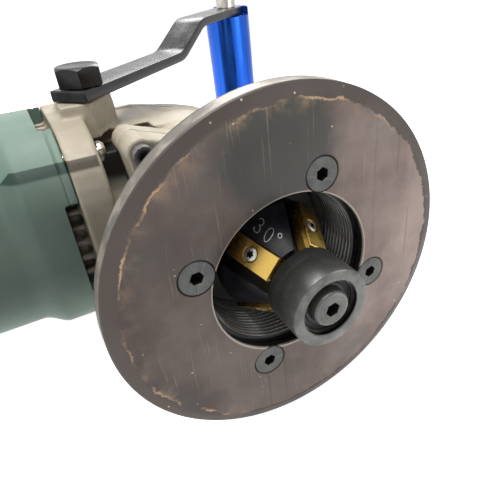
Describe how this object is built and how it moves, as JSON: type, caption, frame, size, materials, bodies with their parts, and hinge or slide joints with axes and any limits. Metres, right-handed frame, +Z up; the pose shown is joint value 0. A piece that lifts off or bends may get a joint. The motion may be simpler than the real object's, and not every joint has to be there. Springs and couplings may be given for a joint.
{
  "type": "edge beveling machine",
  "caption": "Hand-held edge beveling machine: angle-grinder motor and gear head, round guide plate, conical cutter with gold inserts, guide roller and blue cross handle.",
  "frame": {"origin": "centre of the base of the bounding box of the whole tool as it stands on its guide plate, its cross handle and its tail", "axes": "+X runs along the motor from the tail to the gear head, seen level, +Y along the spindle away from the workpiece, so the guide plate faces -Y, and +Z up"},
  "size_m": [0.3414, 0.2432, 0.15],
  "materials": {
    "bearing_steel": "polished bearing steel",
    "black_oxide": "black oxide steel",
    "black_plastic": "black moulded plastic",
    "black_rubber": "black rubber",
    "blue_anodised": "blue anodised, glossy",
    "carbon": "pressed carbon",
    "cast_alloy": "beige painted die casting, satin",
    "copper_wire": "varnished copper",
    "core_steel": "stacked laminations",
    "gold_carbide": "gold coated carbide",
    "ground_steel": "turned dark steel",
    "plate_steel": "blackened ground steel with brown stains",
    "sage_plastic": "sage green moulded plastic, fine texture",
    "zinc_steel": "zinc plated steel"
  },
  "bodies": {
    "machine": {"motor_housing": "sage_plastic", "tail_cover": "sage_plastic", "tail_screw": "zinc_steel", "cord_gland": "black_rubber", "switch_block": "black_plastic", "field_core": "core_steel", "field_winding": "copper_wire", "armature_front_bearing": "bearing_steel", "armature_rear_bearing": "bearing_steel", "spindle_front_bearing": "bearing_steel", "spindle_rear_bearing": "bearing_steel", "brush_carrier": "black_plastic", "gear_head": "cast_alloy", "flange_screw_1": "zinc_steel", "flange_screw_2": "zinc_steel", "flange_screw_3": "zinc_steel", "flange_screw_4": "zinc_steel", "bearing_cap": "cast_alloy", "cap_screw_1": "black_oxide", "cap_screw_2": "black_oxide", "cap_screw_3": "black_oxide", "cap_screw_4": "black_oxide", "threaded_sleeve": "black_oxide", "bracket_bolt": "black_oxide"},
    "armature": {"armature_shaft": "ground_steel", "armature_core": "core_steel", "armature_winding": "copper_wire", "commutator": "copper_wire", "cooling_fan": "black_plastic", "pinion_gear": "ground_steel"},
    "spindle": {"spindle": "ground_steel", "crown_gear": "ground_steel", "cutter_head": "black_oxide", "cutter_insert_1": "gold_carbide", "cutter_insert_2": "gold_carbide", "cutter_insert_3": "gold_carbide", "cutter_insert_4": "gold_carbide", "insert_screw_1": "zinc_steel", "insert_screw_2": "zinc_steel", "insert_screw_3": "zinc_steel", "insert_screw_4": "zinc_steel", "pilot_screw": "ground_steel", "roller_bearing": "bearing_steel"},
    "roller": {"guide_roller": "ground_steel", "retaining_ring": "zinc_steel"},
    "depth_ring": {"wiper_ring": "black_rubber"},
    "depth_plate": {"base_plate": "plate_steel", "depth_collar": "black_oxide", "plate_screw_1": "ground_steel", "plate_screw_2": "ground_steel", "plate_screw_3": "ground_steel", "plate_screw_4": "ground_steel"},
    "lock_screw": {"collar_lock_screw": "black_oxide"},
    "handle": {"bracket_bar": "black_oxide", "cross_handle": "blue_anodised", "handle_screw": "zinc_steel"},
    "switch": {"switch_slider": "black_plastic"},
    "button": {"lock_button": "black_plastic"},
    "near_brush": {"carbon_brush_near": "carbon"},
    "far_brush": {"carbon_brush_far": "carbon"}
  },
  "joints": [
    {"name": "armature_spin", "type": "hinge", "parent": "machine", "child": "armature", "pos_m": [0.07241, 0.0069, 0.06755], "axis": [0.9955, 0, 0.0945], "continuous": true},
    {"name": "spindle_spin", "type": "hinge", "parent": "machine", "child": "spindle", "pos_m": [0.07241, -0.0986, 0.06755], "axis": [0, 1, 0], "continuous": true},
    {"name": "roller_spin", "type": "hinge", "parent": "spindle", "child": "roller", "pos_m": [0.07241, -0.121, 0.06755], "axis": [0, 1, 0], "continuous": true},
    {"name": "ring_slide", "type": "slide", "parent": "machine", "child": "depth_ring", "axis": [0, 1, 0], "range_m": [-0.006, 0.005]},
    {"name": "plate_turn", "type": "hinge", "parent": "depth_ring", "child": "depth_plate", "pos_m": [0.07241, -0.0986, 0.06755], "axis": [0, 1, 0], "range_deg": [-1080, 900]},
    {"name": "lock_screw_turn", "type": "hinge", "parent": "depth_plate", "child": "lock_screw", "pos_m": [0.09704, -0.0646, 0.03292], "axis": [0.5796, 0, -0.8149], "range_deg": [0, 360]},
    {"name": "handle_swing", "type": "hinge", "parent": "machine", "child": "handle", "pos_m": [0.0285, 0.0024, 0.11732], "axis": [-0.0945, 0, 0.9955], "range_deg": [-50, 60]},
    {"name": "switch_slide", "type": "slide", "parent": "machine", "child": "switch", "axis": [0.9955, 0, 0.0945], "range_m": [0, 0.008]},
    {"name": "button_push", "type": "slide", "parent": "machine", "child": "button", "axis": [0, -1, 0], "range_m": [0, 0.005], "stiffness_N_per_m": 400, "springref_m": -0.002},
    {"name": "near_brush_slide", "type": "slide", "parent": "machine", "child": "near_brush", "axis": [0, -1, 0], "range_m": [0, 0.0035], "stiffness_N_per_m": 200, "springref_m": -0.005},
    {"name": "far_brush_slide", "type": "slide", "parent": "machine", "child": "far_brush", "axis": [0, 1, 0], "range_m": [0, 0.0035], "stiffness_N_per_m": 200, "springref_m": -0.005}
  ],
  "couplings": [
    {"joint": "spindle_spin", "follows": "armature_spin", "ratio": -0.2973},
    {"joint": "ring_slide", "follows": "plate_turn", "m_per_rad": 0.00031831}
  ]
}
